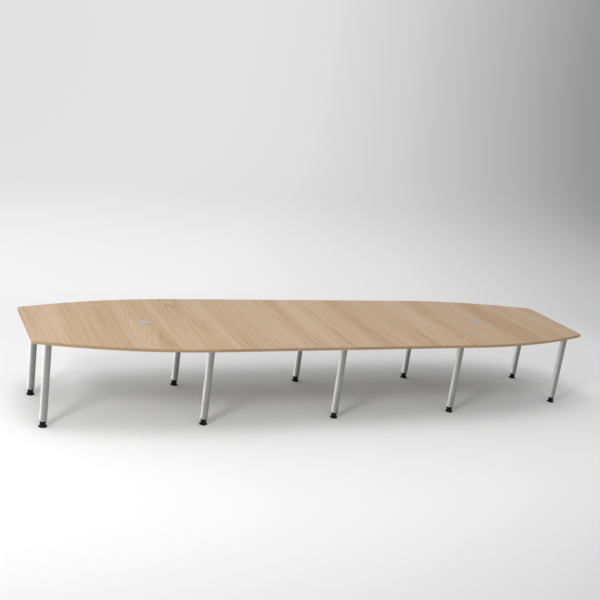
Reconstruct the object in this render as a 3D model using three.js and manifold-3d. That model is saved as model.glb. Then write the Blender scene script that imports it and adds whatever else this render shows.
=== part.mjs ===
// Boat-shaped conference table: four top panels on ten tube legs, with levelling feet and two cable outlets.
// Millimetres, +Z up, X along the table. The origin is on the floor under the middle of the top.
import * as THREE from "three";
import { mergeVertices } from "three/addons/utils/BufferGeometryUtils.js";
import Module from "manifold-3d";

const wasm = await Module();
wasm.setup();

// Top: two straight middle panels and two end panels whose long sides are arcs
const TOP_HEIGHT = 735;
const TOP_THICKNESS = 25;
const MIDDLE_PANEL_LENGTH = 1200;
const END_PANEL_LENGTH = 1400;
const MIDDLE_WIDTH = 1300;
const END_WIDTH = 800;
const CORNER_RADIUS = 30;
const SEAM_GAP = 0.4;

// Edge band glued round the finished edges
const BAND_THICKNESS = 2;
const BAND_CHAMFER = 0.8;
const GLUE_LINE = 0.3;

// Clearances: between faces that rest on each other, and all round a round fit
const SEAT_GAP = 0.3;
const ROUND_FIT = 0.3;

// Legs: a steel tube welded under a square mounting plate
const LEG_DIAMETER = 60;
const LEG_WALL = 2;
const END_LEG_FROM_END = 130;
const END_LEG_FROM_CORNER = 80;
const SEAM_LEG_FROM_EDGE = 225;
const PLATE_SIZE = 150;
const PLATE_THICKNESS = 5;
const PLATE_CORNER = 14;
const PLATE_HOLE_PITCH = 118;
const SCREW_HOLE = 6.5;
const WELD_LEG = 4;
const WELD_DEPTH = 1;

// Levelling feet, from the floor up: pad, adjuster with its spindle, insert in the tube
const PAD_DIAMETER = 66;
const PAD_HEIGHT = 19;
const PAD_RIM = 5;
const PAD_CHAMFER = 1.5;
const PAD_NECK = 46;
const PAD_FLARE_DIAMETER = 52;
const PAD_FLARE_HEIGHT = 9;
const SOCKET_DIAMETER = 16;
const SOCKET_DEPTH = 10;
const KNOB_DIAMETER = 45;
const KNOB_HEIGHT = 16.7;
const KNOB_CHAMFER = 1.2;
const SPINDLE_DIAMETER = 12;
const SPINDLE_LENGTH = 62;
const COLLAR_HEIGHT = 13.4;
const COLLAR_SETBACK = 3;
const COLLAR_CHAMFER = 1;
const FLANGE_HEIGHT = 2;
const FLANGE_SETBACK = 1;
const INSERT_DEPTH = 40;

// Cable outlets: a flanged liner in the panel and a cap that turns in it
const OUTLET_FROM_SEAM = 450;
const OUTLET_BORE = 80;
const LINER_WALL = 2;
const LINER_FLANGE = 4;
const LINER_FLANGE_HEIGHT = 2.2;
const LINER_FLANGE_CHAMFER = 0.8;
const LINER_SHORT = 3;
const LEDGE_WIDTH = 4;
const LEDGE_THICKNESS = 2;
const SHELF_FROM_CENTRE = 8;
const CAP_THICKNESS = 3;
const CAP_FIT = 0.6;
const NOTCH_WIDTH = 22;
const NOTCH_CENTRE = 26;

// Flat plates that tie the panels together across each seam
const SEAM_PLATE_LENGTH = 180;
const SEAM_PLATE_WIDTH = 60;
const SEAM_PLATE_THICKNESS = 4;
const SEAM_PLATE_CORNER = 8;
const SEAM_HOLE_PITCH_X = 130;
const SEAM_HOLE_PITCH_Y = 32;

// How finely round shapes are divided
const SIDE_STEPS = 10;
const CORNER_STEPS = 4;
const PLATE_CORNER_STEPS = 2;
const TUBE_STEPS = 18;
const ADJUSTER_STEPS = 16;
const PAD_STEPS = 18;
const FLARE_STEPS = 3;
const OUTLET_STEPS = 24;
const HOLE_STEPS = 6;

const TOP_UNDERSIDE = TOP_HEIGHT - TOP_THICKNESS;
const ADJUSTER_BOTTOM = PAD_HEIGHT + SEAT_GAP;
const KNOB_TOP = ADJUSTER_BOTTOM + KNOB_HEIGHT;
const INSERT_BOTTOM = KNOB_TOP + SEAT_GAP;
const FLANGE_BOTTOM = INSERT_BOTTOM + COLLAR_HEIGHT;
const FLANGE_TOP = FLANGE_BOTTOM + FLANGE_HEIGHT;
const TUBE_BOTTOM = FLANGE_TOP + SEAT_GAP;
const PLATE_TOP = TOP_UNDERSIDE - SEAT_GAP;
const PLATE_BOTTOM = PLATE_TOP - PLATE_THICKNESS;

const OAK = new THREE.MeshStandardMaterial({ color: 0xc6ad92, roughness: 0.55, metalness: 0 });
const OAK_EDGE = new THREE.MeshStandardMaterial({ color: 0xbfa488, roughness: 0.5, metalness: 0 });
const SILVER = new THREE.MeshStandardMaterial({ color: 0xc3c5c7, roughness: 0.45, metalness: 0.5 });
const ZINC = new THREE.MeshStandardMaterial({ color: 0xa9adb0, roughness: 0.4, metalness: 0.9 });
const BLACK = new THREE.MeshStandardMaterial({ color: 0x1a1a1b, roughness: 0.5, metalness: 0 });
const GREY = new THREE.MeshStandardMaterial({ color: 0xb4b7ba, roughness: 0.45, metalness: 0.1 });

const table = new THREE.Group();

function add(parent, name, geometry, material) {
  const mesh = new THREE.Mesh(geometry, material);
  mesh.name = name;
  parent.add(mesh);
  return mesh;
}

function toSolid(geometry) {
  const bare = geometry.clone();
  bare.deleteAttribute("normal");
  bare.deleteAttribute("uv");
  const merged = mergeVertices(bare, 1e-3);
  return new wasm.Manifold(
    new wasm.Mesh({
      numProp: 3,
      vertProperties: merged.attributes.position.array,
      triVerts: new Uint32Array(merged.index.array),
    }),
  );
}

function toGeometry(solid) {
  const { vertProperties, triVerts } = solid.getMesh();
  const geometry = new THREE.BufferGeometry();
  geometry.setAttribute("position", new THREE.BufferAttribute(vertProperties, 3));
  geometry.setIndex(new THREE.BufferAttribute(triVerts, 1));
  geometry.computeVertexNormals();
  return geometry;
}

function arc(x, y, radius, from, to, steps) {
  return Array.from({ length: steps + 1 }, (_, i) => {
    const angle = from + ((to - from) * i) / steps;
    return new THREE.Vector2(x + radius * Math.cos(angle), y + radius * Math.sin(angle));
  });
}

function circle(x, y, diameter, steps) {
  return new THREE.Path(arc(x, y, diameter / 2, 0, 2 * Math.PI, steps).slice(0, steps));
}

function extrude(shape, depth) {
  return new THREE.ExtrudeGeometry(shape, { depth, bevelEnabled: false });
}

// A turned piece about the Z axis. The profile, [radius, height] pairs, runs up the outside.
function turn(profile, steps) {
  const points = profile.map(([radius, height]) => new THREE.Vector2(radius, height));
  return new THREE.LatheGeometry(points, steps).rotateX(Math.PI / 2);
}

// A strip whose section, [inset, height] pairs running up the outside, follows an outline known at every inset.
function sweep(outline, section) {
  const rails = section.map(([inset, height]) =>
    outline(inset).map((p) => new THREE.Vector3(p.x, p.y, height)),
  );
  const last = rails[0].length - 1;
  const corners = [];
  rails.forEach((rail, k) => {
    const next = rails[(k + 1) % rails.length];
    for (let i = 0; i < last; i++) {
      corners.push(rail[i], rail[i + 1], next[i + 1]);
      corners.push(rail[i], next[i + 1], next[i]);
    }
  });
  for (let k = 1; k + 1 < rails.length; k++) {
    corners.push(rails[0][0], rails[k][0], rails[k + 1][0]);
    corners.push(rails[0][last], rails[k + 1][last], rails[k][last]);
  }
  return new THREE.BufferGeometry().setFromPoints(corners);
}

// A flat plate with rounded corners and four screw holes, standing on z = 0.
function screwPlate(length, width, thickness, corner, pitchX, pitchY) {
  const x = length / 2 - corner;
  const y = width / 2 - corner;
  const quarter = Math.PI / 2;
  const shape = new THREE.Shape([
    ...arc(x, y, corner, 0, quarter, PLATE_CORNER_STEPS),
    ...arc(-x, y, corner, quarter, 2 * quarter, PLATE_CORNER_STEPS),
    ...arc(-x, -y, corner, 2 * quarter, 3 * quarter, PLATE_CORNER_STEPS),
    ...arc(x, -y, corner, 3 * quarter, 4 * quarter, PLATE_CORNER_STEPS),
  ]);
  for (const sideX of [-1, 1]) {
    for (const sideY of [-1, 1]) {
      shape.holes.push(circle((sideX * pitchX) / 2, (sideY * pitchY) / 2, SCREW_HOLE, HOLE_STEPS));
    }
  }
  return extrude(shape, thickness);
}

// Edge of an end panel, from the front seam corner round the end to the back one, at an inset from the finished edge.
// The seam lies at x = 0. Each long side is an arc that starts along the middle panel's straight edge.
const SIDE_DROP = (MIDDLE_WIDTH - END_WIDTH) / 2;
const SIDE_RADIUS = (END_PANEL_LENGTH ** 2 + SIDE_DROP ** 2) / (2 * SIDE_DROP);
const CORNER_ANGLE = Math.asin((END_PANEL_LENGTH - CORNER_RADIUS) / (SIDE_RADIUS - CORNER_RADIUS));

function endOutline(inset) {
  const down = -Math.PI / 2;
  const radius = SIDE_RADIUS - inset;
  const centreY = SIDE_RADIUS - MIDDLE_WIDTH / 2;
  const start = Math.asin(SEAM_GAP / 2 / radius);
  const cornerX = END_PANEL_LENGTH - CORNER_RADIUS;
  const cornerY = centreY - (SIDE_RADIUS - CORNER_RADIUS) * Math.cos(CORNER_ANGLE);
  const front = [
    ...arc(0, centreY, radius, down + start, down + CORNER_ANGLE, SIDE_STEPS).slice(0, SIDE_STEPS),
    ...arc(cornerX, cornerY, CORNER_RADIUS - inset, down + CORNER_ANGLE, 0, CORNER_STEPS),
  ];
  const back = front.map((p) => new THREE.Vector2(p.x, -p.y)).reverse();
  return [...front, ...back];
}

// Straight edge of a middle panel, which runs from one seam to the next along the front.
function middleOutline(inset) {
  const y = -MIDDLE_WIDTH / 2 + inset;
  const from = SEAM_GAP / 2;
  return [new THREE.Vector2(from, y), new THREE.Vector2(MIDDLE_PANEL_LENGTH - from, y)];
}

const PANEL_INSET = BAND_THICKNESS + GLUE_LINE;
const BAND_SECTION = [
  [BAND_THICKNESS, 0],
  [BAND_CHAMFER, 0],
  [0, BAND_CHAMFER],
  [0, TOP_THICKNESS - BAND_CHAMFER],
  [BAND_CHAMFER, TOP_THICKNESS],
  [BAND_THICKNESS, TOP_THICKNESS],
];

function endPanel() {
  const shape = new THREE.Shape(endOutline(PANEL_INSET));
  shape.holes.push(circle(OUTLET_FROM_SEAM, 0, OUTLET_BORE, OUTLET_STEPS));
  return extrude(shape, TOP_THICKNESS);
}

function middlePanel() {
  const front = middleOutline(PANEL_INSET);
  const back = front.map((p) => new THREE.Vector2(p.x, -p.y)).reverse();
  return extrude(new THREE.Shape([...front, ...back]), TOP_THICKNESS);
}

function addTop() {
  for (const [side, turned] of [["right", 0], ["left", Math.PI]]) {
    const half = new THREE.Group();
    half.rotation.z = turned;
    half.position.z = TOP_UNDERSIDE;
    table.add(half);
    add(half, `top_middle_${side}`, middlePanel(), OAK);
    const [nearEdge, farEdge] = turned ? ["back", "front"] : ["front", "back"];
    add(half, `edge_${nearEdge}_${side}`, sweep(middleOutline, BAND_SECTION), OAK_EDGE);
    const far = add(half, `edge_${farEdge}_${side}`, sweep(middleOutline, BAND_SECTION), OAK_EDGE);
    far.rotation.z = Math.PI;
    far.position.x = MIDDLE_PANEL_LENGTH;
    const end = new THREE.Group();
    end.position.x = MIDDLE_PANEL_LENGTH;
    half.add(end);
    add(end, `top_end_${side}`, endPanel(), OAK);
    add(end, `edge_end_${side}`, sweep(endOutline, BAND_SECTION), OAK_EDGE);
  }
}

// Leg: the tube's upper end runs a little into the plate, with a weld fillet round it.
function leg() {
  const outer = LEG_DIAMETER / 2;
  const inner = outer - LEG_WALL;
  const tube = turn(
    [
      [inner, TUBE_BOTTOM],
      [outer, TUBE_BOTTOM],
      [outer, PLATE_BOTTOM - WELD_LEG],
      [outer + WELD_LEG, PLATE_BOTTOM],
      [outer + WELD_LEG, PLATE_BOTTOM + WELD_DEPTH],
      [inner, PLATE_BOTTOM + WELD_DEPTH],
      [inner, TUBE_BOTTOM],
    ],
    TUBE_STEPS,
  );
  const plate = screwPlate(
    PLATE_SIZE,
    PLATE_SIZE,
    PLATE_THICKNESS,
    PLATE_CORNER,
    PLATE_HOLE_PITCH,
    PLATE_HOLE_PITCH,
  ).translate(0, 0, PLATE_BOTTOM);
  return toGeometry(toSolid(plate).add(toSolid(tube)));
}

// Insert pressed into the tube's lower end. Its hub takes the spindle's thread.
function footInsert() {
  const bore = SPINDLE_DIAMETER / 2 + ROUND_FIT;
  const tube = LEG_DIAMETER / 2;
  const collar = tube - COLLAR_SETBACK;
  const flange = tube - FLANGE_SETBACK;
  const sleeve = tube - LEG_WALL - ROUND_FIT;
  const top = FLANGE_TOP + INSERT_DEPTH;
  return turn(
    [
      [bore, INSERT_BOTTOM],
      [collar - COLLAR_CHAMFER, INSERT_BOTTOM],
      [collar, INSERT_BOTTOM + COLLAR_CHAMFER],
      [collar, FLANGE_BOTTOM],
      [flange, FLANGE_BOTTOM],
      [flange, FLANGE_TOP],
      [sleeve, FLANGE_TOP],
      [sleeve, top],
      [bore, top],
      [bore, INSERT_BOTTOM],
    ],
    TUBE_STEPS,
  );
}

// Adjuster: a hand knob with the threaded spindle above it and a stub below it that turns in the pad.
function footAdjuster() {
  const stub = SOCKET_DIAMETER / 2 - ROUND_FIT;
  const stubBottom = PAD_HEIGHT - SOCKET_DEPTH + SEAT_GAP;
  const knob = KNOB_DIAMETER / 2;
  const spindle = SPINDLE_DIAMETER / 2;
  const tip = KNOB_TOP + SPINDLE_LENGTH;
  return turn(
    [
      [0, stubBottom],
      [stub, stubBottom],
      [stub, ADJUSTER_BOTTOM],
      [knob, ADJUSTER_BOTTOM],
      [knob, KNOB_TOP - KNOB_CHAMFER],
      [knob - KNOB_CHAMFER, KNOB_TOP],
      [spindle, KNOB_TOP],
      [spindle, tip],
      [0, tip],
    ],
    ADJUSTER_STEPS,
  );
}

// Pad: a flat disc that flares up into a neck, with a blind socket for the adjuster's stub.
function footPad() {
  const rim = PAD_DIAMETER / 2;
  const flare = new THREE.QuadraticBezierCurve(
    new THREE.Vector2(rim, PAD_RIM),
    new THREE.Vector2(PAD_FLARE_DIAMETER / 2, PAD_FLARE_HEIGHT),
    new THREE.Vector2(PAD_NECK / 2, PAD_HEIGHT),
  );
  return turn(
    [
      [0, 0],
      [rim - PAD_CHAMFER, 0],
      [rim, PAD_CHAMFER],
      ...flare.getPoints(FLARE_STEPS).map((p) => [p.x, p.y]),
      [SOCKET_DIAMETER / 2, PAD_HEIGHT],
      [SOCKET_DIAMETER / 2, PAD_HEIGHT - SOCKET_DEPTH],
      [0, PAD_HEIGHT - SOCKET_DEPTH],
    ],
    PAD_STEPS,
  );
}

function addLegs() {
  const endX = MIDDLE_PANEL_LENGTH + END_PANEL_LENGTH - END_LEG_FROM_END;
  const endY = END_WIDTH / 2 - END_LEG_FROM_CORNER;
  const seamY = MIDDLE_WIDTH / 2 - SEAM_LEG_FROM_EDGE;
  const pairs = [
    [-endX, endY],
    [-MIDDLE_PANEL_LENGTH, seamY],
    [0, seamY],
    [MIDDLE_PANEL_LENGTH, seamY],
    [endX, endY],
  ];
  for (const [row, side] of [["front", -1], ["back", 1]]) {
    pairs.forEach(([x, y], i) => {
      const place = new THREE.Group();
      place.position.set(x, side * y, 0);
      table.add(place);
      const label = `${row}_${i + 1}`;
      add(place, `leg_${label}`, leg(), SILVER);
      add(place, `foot_insert_${label}`, footInsert(), BLACK);
      add(place, `foot_adjuster_${label}`, footAdjuster(), BLACK);
      add(place, `foot_pad_${label}`, footPad(), BLACK);
    });
  }
}

// Heights in the outlet are counted from the top surface.
const LINER_SEAT = SEAT_GAP;
const OUTLET_TOP = LINER_SEAT + LINER_FLANGE_HEIGHT;
const CAP_BOTTOM = OUTLET_TOP - CAP_THICKNESS;
const LEDGE_TOP = CAP_BOTTOM - SEAT_GAP;
const LEDGE_BOTTOM = LEDGE_TOP - LEDGE_THICKNESS;
const SLEEVE_RADIUS = OUTLET_BORE / 2 - ROUND_FIT;
const RECESS_RADIUS = SLEEVE_RADIUS - LINER_WALL;
const LEDGE_RADIUS = RECESS_RADIUS - LEDGE_WIDTH;

// Liner: a flanged sleeve with a ledge for the cap and a half-moon shelf that closes the cap's notch.
function outletLiner() {
  const flange = OUTLET_BORE / 2 + LINER_FLANGE;
  const sleeveBottom = LINER_SHORT - TOP_THICKNESS;
  const ring = turn(
    [
      [RECESS_RADIUS, sleeveBottom],
      [SLEEVE_RADIUS, sleeveBottom],
      [SLEEVE_RADIUS, LINER_SEAT],
      [flange, LINER_SEAT],
      [flange, OUTLET_TOP - LINER_FLANGE_CHAMFER],
      [flange - LINER_FLANGE_CHAMFER, OUTLET_TOP],
      [RECESS_RADIUS, OUTLET_TOP],
      [RECESS_RADIUS, LEDGE_TOP],
      [LEDGE_RADIUS, LEDGE_TOP],
      [LEDGE_RADIUS, LEDGE_BOTTOM],
      [RECESS_RADIUS, LEDGE_BOTTOM],
      [RECESS_RADIUS, sleeveBottom],
    ],
    OUTLET_STEPS,
  );
  const reach = LEDGE_RADIUS + LEDGE_WIDTH / 2;
  const rise = Math.asin(SHELF_FROM_CENTRE / reach);
  const halfMoon = new THREE.Shape(
    arc(0, 0, reach, Math.PI + rise, 2 * Math.PI - rise, OUTLET_STEPS / 2),
  );
  const shelf = extrude(halfMoon, LEDGE_THICKNESS).translate(0, 0, LEDGE_BOTTOM);
  return toGeometry(toSolid(ring).add(toSolid(shelf)));
}

// Cap: a disc with a round-ended notch in its rim for the cables.
function outletCap() {
  const radius = RECESS_RADIUS - CAP_FIT;
  const halfNotch = NOTCH_WIDTH / 2;
  const swing = Math.asin(halfNotch / radius);
  const down = -Math.PI / 2;
  const shape = new THREE.Shape([
    ...arc(0, 0, radius, down + swing, down + 2 * Math.PI - swing, OUTLET_STEPS),
    ...arc(0, -NOTCH_CENTRE, halfNotch, Math.PI, 0, OUTLET_STEPS / 4),
  ]);
  return extrude(shape, CAP_THICKNESS).translate(0, 0, CAP_BOTTOM);
}

function addOutlets() {
  const x = MIDDLE_PANEL_LENGTH + OUTLET_FROM_SEAM;
  for (const [side, sign] of [["left", -1], ["right", 1]]) {
    const place = new THREE.Group();
    place.position.set(sign * x, 0, TOP_HEIGHT);
    table.add(place);
    add(place, `outlet_liner_${side}`, outletLiner(), GREY);
    add(place, `outlet_cap_${side}`, outletCap(), GREY);
  }
}

function addSeamPlates() {
  for (const [side, sign] of [["left", -1], ["middle", 0], ["right", 1]]) {
    const plate = screwPlate(
      SEAM_PLATE_LENGTH,
      SEAM_PLATE_WIDTH,
      SEAM_PLATE_THICKNESS,
      SEAM_PLATE_CORNER,
      SEAM_HOLE_PITCH_X,
      SEAM_HOLE_PITCH_Y,
    );
    const mesh = add(table, `seam_plate_${side}`, plate, ZINC);
    mesh.position.set(sign * MIDDLE_PANEL_LENGTH, 0, PLATE_TOP - SEAM_PLATE_THICKNESS);
  }
}

addTop();
addLegs();
addOutlets();
addSeamPlates();

export default table;
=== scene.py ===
# %% [markdown]
# # A boat-shaped conference table
#
# Four oak-faced boards stand on ten round silver legs with black levelling feet, and two grey cable outlets sit
# in the end boards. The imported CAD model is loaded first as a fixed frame: it is in metres, and every piece below
# is modelled where the CAD says it is, so nothing has to be fitted afterwards.

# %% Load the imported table
import math

import bmesh
import bpy
from mathutils import Matrix, Vector


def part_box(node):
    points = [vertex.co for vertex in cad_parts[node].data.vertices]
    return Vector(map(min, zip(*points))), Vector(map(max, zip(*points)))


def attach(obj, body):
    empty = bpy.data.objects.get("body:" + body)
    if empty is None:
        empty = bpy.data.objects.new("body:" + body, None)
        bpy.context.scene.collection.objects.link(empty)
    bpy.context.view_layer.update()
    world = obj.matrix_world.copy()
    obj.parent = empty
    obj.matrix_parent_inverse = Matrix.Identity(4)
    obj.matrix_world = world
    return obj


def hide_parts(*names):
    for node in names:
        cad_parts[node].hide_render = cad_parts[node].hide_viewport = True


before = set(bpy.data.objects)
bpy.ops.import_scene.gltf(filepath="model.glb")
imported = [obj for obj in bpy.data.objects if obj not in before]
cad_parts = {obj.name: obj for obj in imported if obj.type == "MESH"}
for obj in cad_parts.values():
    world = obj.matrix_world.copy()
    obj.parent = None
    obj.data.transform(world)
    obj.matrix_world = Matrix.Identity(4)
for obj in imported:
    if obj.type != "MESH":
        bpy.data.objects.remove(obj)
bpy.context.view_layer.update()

# %% [markdown]
# ## Camera
#
# The picture was taken from the front left, a little above the top, with the camera tipped to one side. A camera
# could be aimed by an empty and a Track To constraint, but a tipped camera is simpler to write as three turns:
# first the tilt of the frame, then the dip, then the heading.

# %% Camera
CAMERA_PLACE = (-3.7001, -7.0431, 3.1466)
CAMERA_HEADING = math.radians(25.9412)
CAMERA_DIP = math.radians(15.7409)
CAMERA_TILT = math.radians(7.9578)
CAMERA_LENS = 55.834

bpy.ops.object.select_all(action="DESELECT")
bpy.ops.object.camera_add(location=CAMERA_PLACE)
camera = bpy.context.object
camera.name = "camera"
camera.data.sensor_fit = "HORIZONTAL"
camera.data.sensor_width = 36.0
camera.data.lens = CAMERA_LENS
camera.matrix_world = (
    Matrix.Translation(CAMERA_PLACE)
    @ Matrix.Rotation(-CAMERA_HEADING, 4, "Z")
    @ Matrix.Rotation(math.pi / 2 - CAMERA_DIP, 4, "X")
    @ Matrix.Rotation(CAMERA_TILT, 4, "Z")
)
bpy.context.scene.camera = camera
print("camera", [round(v, 3) for v in camera.matrix_world.translation], "lens", camera.data.lens)

# %% [markdown]
# ## Working in edit mode from a script
#
# An operator acts on whatever is selected, so every step starts from nothing selected. Faces and edges are then
# picked in code, by where they lie or which way they point, just as one would click on them by hand. A smoothed
# piece also gets weighted normals, so that large flat faces stay flat beside their small rounded edges.

# %% Select, edit and finish
def deselect():
    if bpy.context.mode != "OBJECT":
        bpy.ops.object.mode_set(mode="OBJECT")
    bpy.ops.object.select_all(action="DESELECT")


def activate(piece):
    deselect()
    piece.select_set(True)
    bpy.context.view_layer.objects.active = piece


def edit(piece):
    activate(piece)
    bpy.ops.object.mode_set(mode="EDIT")
    bpy.ops.mesh.select_mode(type="VERT")
    bpy.ops.mesh.select_all(action="SELECT")


def pick(kind, test):
    bpy.ops.mesh.select_mode(type=kind)
    bpy.ops.mesh.select_all(action="DESELECT")
    mesh = bmesh.from_edit_mesh(bpy.context.edit_object.data)
    mesh.normal_update()
    parts = {"VERT": mesh.verts, "EDGE": mesh.edges, "FACE": mesh.faces}[kind]
    found = [part for part in parts if test(part)]
    for part in found:
        part.select_set(True)
    mesh.select_flush_mode()
    bmesh.update_edit_mesh(bpy.context.edit_object.data)
    return len(found)


def middle(part):
    return sum((v.co for v in part.verts), Vector()) / len(part.verts)


def settle(piece, name):
    activate(piece)
    bpy.ops.object.transform_apply(location=True, rotation=True, scale=True)
    piece.name = piece.data.name = name
    return piece


def close_up(piece):
    edit(piece)
    bpy.ops.mesh.remove_doubles(threshold=1e-6)
    bpy.ops.mesh.normals_make_consistent(inside=False)
    bpy.ops.object.mode_set(mode="OBJECT")


def apply_modifier(piece, kind, **settings):
    activate(piece)
    bpy.ops.object.modifier_add(type=kind)
    modifier = piece.modifiers[-1]
    for setting, value in settings.items():
        setattr(modifier, setting, value)
    bpy.ops.object.modifier_apply(modifier=modifier.name)


def cut(piece, cutter):
    apply_modifier(piece, "BOOLEAN", operation="DIFFERENCE", solver="EXACT", object=cutter)
    bpy.data.objects.remove(cutter, do_unlink=True)


def ease_edges(piece, width, segments=2, angle=40):
    apply_modifier(
        piece, "BEVEL", width=width, segments=segments, limit_method="ANGLE", angle_limit=math.radians(angle),
        harden_normals=False, use_clamp_overlap=True,
    )


def smooth(piece, angle=35):
    activate(piece)
    bpy.ops.object.shade_smooth_by_angle(angle=math.radians(angle))
    apply_modifier(piece, "WEIGHTED_NORMAL", keep_sharp=True)


def join(pieces, name):
    deselect()
    for piece in pieces:
        piece.select_set(True)
    bpy.context.view_layer.objects.active = pieces[0]
    bpy.ops.object.join()
    return settle(pieces[0], name)


def copy_to(piece, name, offset, turn=0.0):
    activate(piece)
    bpy.ops.object.duplicate(linked=False)
    made = bpy.context.object
    made.matrix_world = Matrix.Translation(offset) @ Matrix.Rotation(turn, 4, "Z")
    return settle(made, name)


def carry(piece, body, slot, *nodes):
    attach(piece, body)
    if nodes:
        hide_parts(*nodes)


# %% [markdown]
# ## The end boards
#
# Each end board narrows towards its end along two long arcs that start exactly along the straight edge of the middle
# board. One vertex is spun about the arc's far-off centre to draw the front arc, a mirrored copy gives the back arc,
# and bridging the two gives the face. The two outer corners get a small radius with a vertex bevel.

# %% Outline of an end board
TOP_LOW, TOP_HIGH = (corner.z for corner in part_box("top_end_right"))
SEAM = (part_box("top_middle_right")[1].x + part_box("top_end_right")[0].x) / 2
SEAM_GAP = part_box("top_end_right")[0].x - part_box("top_middle_right")[1].x
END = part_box("edge_end_right")[1].x
HALF_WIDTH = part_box("edge_back_right")[1].y
END_HALF_WIDTH = 0.400
CORNER_RADIUS = 0.030
SIDE_DROP = HALF_WIDTH - END_HALF_WIDTH
SIDE_RADIUS = ((END - SEAM) ** 2 + SIDE_DROP**2) / (2 * SIDE_DROP)
SIDE_SWEEP = math.asin((END - SEAM) / SIDE_RADIUS)
LEAD_IN = math.radians(1.0)
SIDE_STEPS = 72


def end_outline(name):
    arc_centre = Vector((SEAM, SIDE_RADIUS - HALF_WIDTH, TOP_HIGH))
    start = arc_centre + SIDE_RADIUS * Vector((-math.sin(LEAD_IN), -math.cos(LEAD_IN), 0))
    deselect()
    bpy.ops.mesh.primitive_plane_add(size=0.01, location=start)
    outline = settle(bpy.context.object, name)
    edit(outline)
    bpy.ops.mesh.merge(type="CENTER")
    bpy.ops.mesh.spin(steps=SIDE_STEPS, angle=SIDE_SWEEP + LEAD_IN, center=arc_centre, axis=(0, 0, -1))
    bpy.ops.mesh.select_all(action="SELECT")
    bpy.ops.mesh.duplicate()
    bpy.ops.transform.resize(value=(1, -1, 1), center_override=(0, 0, 0))
    bpy.ops.mesh.select_all(action="SELECT")
    bpy.ops.mesh.bridge_edge_loops()
    pick("EDGE", lambda e: not e.is_boundary)
    bpy.ops.mesh.dissolve_edges(use_verts=False)
    pick("VERT", lambda v: v.co.x > END - 1e-4)
    corner = math.pi / 2 + SIDE_SWEEP
    bpy.ops.mesh.bevel(offset=CORNER_RADIUS / math.tan(corner / 2), segments=10, affect="VERTICES")
    bpy.ops.object.mode_set(mode="OBJECT")
    return outline

# %% [markdown]
# A real board is chipboard with a 2 mm band glued round its edge. Insetting the outline by the band's thickness draws
# both at once: the inner face becomes the board and the ring becomes the band. Both are cut square at the seam,
# and only then get their thickness.

# %% End boards and their bands
BAND_THICKNESS = 0.002
OUTLET_BORE = 0.040
BORE_STEPS = 128


def thicken(piece):
    edit(piece)
    bpy.ops.mesh.bisect(
        plane_co=(SEAM + SEAM_GAP / 2, 0, 0), plane_no=(1, 0, 0), clear_inner=True, use_fill=False
    )
    bpy.ops.mesh.select_all(action="SELECT")
    bpy.ops.mesh.extrude_region_move(TRANSFORM_OT_translate={"value": (0, 0, TOP_LOW - TOP_HIGH)})
    close_up(piece)


def end_board_and_band():
    band = end_outline("band_end_right")
    edit(band)
    bpy.ops.mesh.inset(thickness=BAND_THICKNESS, use_boundary=True, use_even_offset=True)
    bpy.ops.mesh.separate(type="SELECTED")
    bpy.ops.object.mode_set(mode="OBJECT")
    board = next(o for o in bpy.context.selected_objects if o != band)
    board.name = board.data.name = "board_end_right"
    for piece in (board, band):
        thicken(piece)
    return board, band


board_end_right, band_end_right = end_board_and_band()
outlet = sum(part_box("outlet_liner_right"), Vector()) / 2
deselect()
bpy.ops.mesh.primitive_cylinder_add(
    vertices=BORE_STEPS, radius=OUTLET_BORE, depth=0.1, location=(outlet.x, 0, TOP_HIGH)
)
cut(board_end_right, bpy.context.object)
ease_edges(board_end_right, 0.00015, segments=1)
print("end board", len(board_end_right.data.polygons), "faces, band", len(band_end_right.data.polygons))

# %% [markdown]
# The two arrises of a real band are rounded by the trimming machine. Only the outer edges are picked: an edge counts
# when one of its faces is level and the other is a wall that looks away from the table.

# %% Round the arrises of a band
ARRIS_RADIUS = 0.0011


def round_arrises(band, heart):
    def outer(edge):
        if len(edge.link_faces) != 2:
            return False
        flat = [f for f in edge.link_faces if abs(f.normal.z) > 0.9]
        wall = [f for f in edge.link_faces if abs(f.normal.z) < 0.1]
        if not flat or not wall:
            return False
        outward = middle(wall[0]) - Vector(heart)
        outward.z = 0
        return wall[0].normal.dot(outward) > 0.3 * outward.length

    edit(band)
    count = pick("EDGE", outer)
    bpy.ops.mesh.bevel(offset=ARRIS_RADIUS, segments=3, affect="EDGES")
    close_up(band)
    smooth(band, 30)
    return count


print("end band:", round_arrises(band_end_right, (SEAM - 0.5, 0, 0)), "arris edges rounded")

# %% [markdown]
# ## The middle boards
#
# These are plain rectangles between two seams, so a cube scaled to its place is enough, with its edges eased. Their
# bands are straight strips, which get the same rounded arrises.

# %% Middle boards and straight bands
def block(name, low, high):
    deselect()
    low, high = Vector(low), Vector(high)
    bpy.ops.mesh.primitive_cube_add(size=1, location=(low + high) / 2, scale=high - low)
    return settle(bpy.context.object, name)


MIDDLE_FROM, MIDDLE_TO = SEAM_GAP / 2, SEAM - SEAM_GAP / 2
BOARD_HALF_WIDTH = HALF_WIDTH - BAND_THICKNESS
board_middle_right = block(
    "board_middle_right", (MIDDLE_FROM, -BOARD_HALF_WIDTH, TOP_LOW), (MIDDLE_TO, BOARD_HALF_WIDTH, TOP_HIGH)
)
ease_edges(board_middle_right, 0.00015, segments=1)
band_front_right = block(
    "band_front_right", (MIDDLE_FROM, -HALF_WIDTH, TOP_LOW), (MIDDLE_TO, -BOARD_HALF_WIDTH, TOP_HIGH)
)
print("straight band:", round_arrises(band_front_right, (SEAM / 2, 5, 0)), "arris edges rounded")

# %% [markdown]
# A band's grain runs along the edge, also where the edge turns the corner. So each band carries a flat UV map in
# metres: the distance along the edge, and the height. The corner is short, so adding what the edge has gone in X to
# what it has gone in Y is close enough to the true length.

# %% Lay the grain along each band
BAND_GRAIN_FINER = 2.5


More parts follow.
